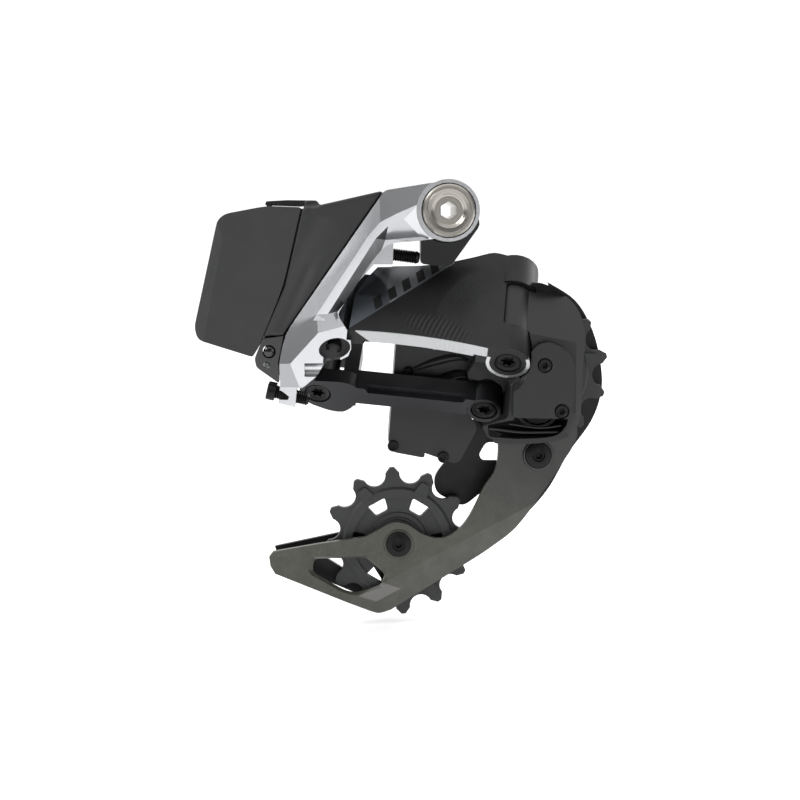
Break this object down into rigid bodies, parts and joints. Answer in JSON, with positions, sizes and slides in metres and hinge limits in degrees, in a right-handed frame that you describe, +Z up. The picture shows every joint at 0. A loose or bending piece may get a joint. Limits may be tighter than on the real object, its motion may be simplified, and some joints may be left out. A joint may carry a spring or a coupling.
{
  "type": "rear bicycle derailleur",
  "caption": "Electronic rear derailleur: clip-on battery, parallelogram on slanted pins, motorised lower knuckle and a sprung cage that carries toothed chain pulleys.",
  "frame": {"origin": "on the mounting bolt's axis, in the face that bears on the frame's hanger", "axes": "+Y inboard along the mounting bolt, +X towards the front of the bicycle, +Z up"},
  "size_m": [0.1397, 0.0525, 0.1506],
  "materials": {
    "silver_alloy": "polished",
    "bolt_steel": "satin",
    "steel": "satin",
    "black_steel": "satin",
    "black_alloy": "satin",
    "link_alloy": "satin",
    "case_plastic": "matte",
    "gloss_plastic": "gloss",
    "cage_carbon": "satin",
    "cage_alloy": "satin",
    "pulley_plastic": "matte",
    "bronze": "satin",
    "contact_metal": "satin",
    "brass": "satin",
    "board": "satin",
    "cell": "matte",
    "lens": "gloss",
    "rubber": "matte"
  },
  "bodies": {
    "hanger_fixings": {"mounting_bolt": "bolt_steel", "stop_washer": "black_alloy"},
    "upper_knuckle_group": {"upper_knuckle": "silver_alloy", "mounting_bush": "bronze", "limit_screw_1": "black_steel", "limit_screw_2": "black_steel", "battery_housing": "case_plastic", "contact_block": "gloss_plastic", "latch_pin": "steel", "control_module": "gloss_plastic", "circuit_board": "board", "status_light": "lens", "link_pin_a": "black_steel", "link_pin_c": "black_steel"},
    "angle_adjuster": {"angle_adjuster_screw": "black_steel"},
    "button": {"function_button": "rubber"},
    "latch": {"battery_latch": "gloss_plastic"},
    "battery": {"battery_case": "case_plastic", "battery_cell": "cell", "battery_contacts": "contact_metal"},
    "outer_link_body": {"outer_link": "link_alloy"},
    "inner_link_body": {"inner_link": "black_alloy"},
    "lower_knuckle_group": {"lower_knuckle": "black_alloy", "lower_knuckle_cover": "black_alloy", "cover_screw_1": "black_steel", "cover_screw_2": "black_steel", "cage_pivot_bush": "bronze", "cage_spring": "steel", "clutch_damper": "black_steel", "motor_housing": "black_alloy", "motor_housing_lid": "black_alloy", "lid_screw_1": "black_steel", "lid_screw_2": "black_steel", "drive_motor": "steel", "link_pin_b": "black_steel", "link_pin_d": "black_steel"},
    "worm": {"drive_worm": "brass"},
    "wheel": {"drive_wheel": "brass"},
    "cage": {"cage_outer_plate": "cage_carbon", "cage_inner_plate": "cage_alloy", "cage_axle": "steel", "cage_stop_screw": "black_steel", "upper_pulley_bearing": "steel", "lower_pulley_bearing": "steel", "upper_pulley_bolt": "black_steel", "lower_pulley_bolt": "black_steel", "upper_pulley_seal_outer": "rubber", "upper_pulley_seal_inner": "rubber", "lower_pulley_seal_outer": "rubber", "lower_pulley_seal_inner": "rubber"},
    "upper_pulley_body": {"upper_pulley": "pulley_plastic"},
    "lower_pulley_body": {"lower_pulley": "pulley_plastic"}
  },
  "joints": [
    {"name": "knuckle_pivot", "type": "hinge", "parent": "hanger_fixings", "child": "upper_knuckle_group", "pos_m": [0, -0.01, 0], "axis": [0, 1, 0], "range_deg": [0, 25]},
    {"name": "adjuster_travel", "type": "slide", "parent": "upper_knuckle_group", "child": "angle_adjuster", "axis": [-0.9919, 0, 0.127], "range_m": [0, 0.004]},
    {"name": "button_press", "type": "slide", "parent": "upper_knuckle_group", "child": "button", "axis": [0, 1, 0], "range_m": [0, 0.0008], "stiffness_N_per_m": 800},
    {"name": "latch_swing", "type": "hinge", "parent": "upper_knuckle_group", "child": "latch", "pos_m": [-0.0442, -0.003, 0.0015], "axis": [0, 1, 0], "range_deg": [0, 50]},
    {"name": "battery_release", "type": "slide", "parent": "upper_knuckle_group", "child": "battery", "axis": [-1, 0, 0], "range_m": [0, 0.0228]},
    {"name": "outer_link_swing", "type": "hinge", "parent": "upper_knuckle_group", "child": "outer_link_body", "pos_m": [-0.03678, -0.01472, -0.0422], "axis": [0.1349, 0.7071, 0.6941], "range_deg": [0, 58]},
    {"name": "lower_knuckle_swing", "type": "hinge", "parent": "outer_link_body", "child": "lower_knuckle_group", "pos_m": [0.0192, -0.02, -0.0477], "axis": [0.1349, 0.7071, 0.6941], "range_deg": [-58, 0]},
    {"name": "inner_link_swing", "type": "hinge", "parent": "upper_knuckle_group", "child": "inner_link_body", "pos_m": [-0.04252, 0.00402, -0.06017], "axis": [0.1349, 0.7071, 0.6941], "range_deg": [0, 58]},
    {"name": "worm_spin", "type": "hinge", "parent": "lower_knuckle_group", "child": "worm", "pos_m": [-0.0123, 0.0152, -0.0535], "axis": [0, 0, 1], "range_deg": [0, 696]},
    {"name": "wheel_spin", "type": "hinge", "parent": "lower_knuckle_group", "child": "wheel", "pos_m": [-0.008, 0.0152, -0.0518], "axis": [0, 1, 0], "range_deg": [0, 116]},
    {"name": "cage_swing", "type": "hinge", "parent": "lower_knuckle_group", "child": "cage", "pos_m": [0.0301, 0, -0.0636], "axis": [0, -1, 0], "range_deg": [0, 105], "stiffness_Nm_per_rad": 0.25, "springref_deg": -85.94},
    {"name": "upper_pulley_spin", "type": "hinge", "parent": "cage", "child": "upper_pulley_body", "pos_m": [0.0324, 0.018, -0.0551], "axis": [0, 1, 0], "continuous": true},
    {"name": "lower_pulley_spin", "type": "hinge", "parent": "cage", "child": "lower_pulley_body", "pos_m": [-0.015, 0.018, -0.1151], "axis": [0, 1, 0], "continuous": true}
  ],
  "couplings": [
    {"joint": "latch_swing", "follows": "battery_release", "rad_per_m": 38.27},
    {"joint": "lower_knuckle_swing", "follows": "outer_link_swing", "ratio": -1},
    {"joint": "inner_link_swing", "follows": "outer_link_swing", "ratio": 1},
    {"joint": "worm_spin", "follows": "outer_link_swing", "ratio": 12},
    {"joint": "wheel_spin", "follows": "outer_link_swing", "ratio": 2}
  ]
}
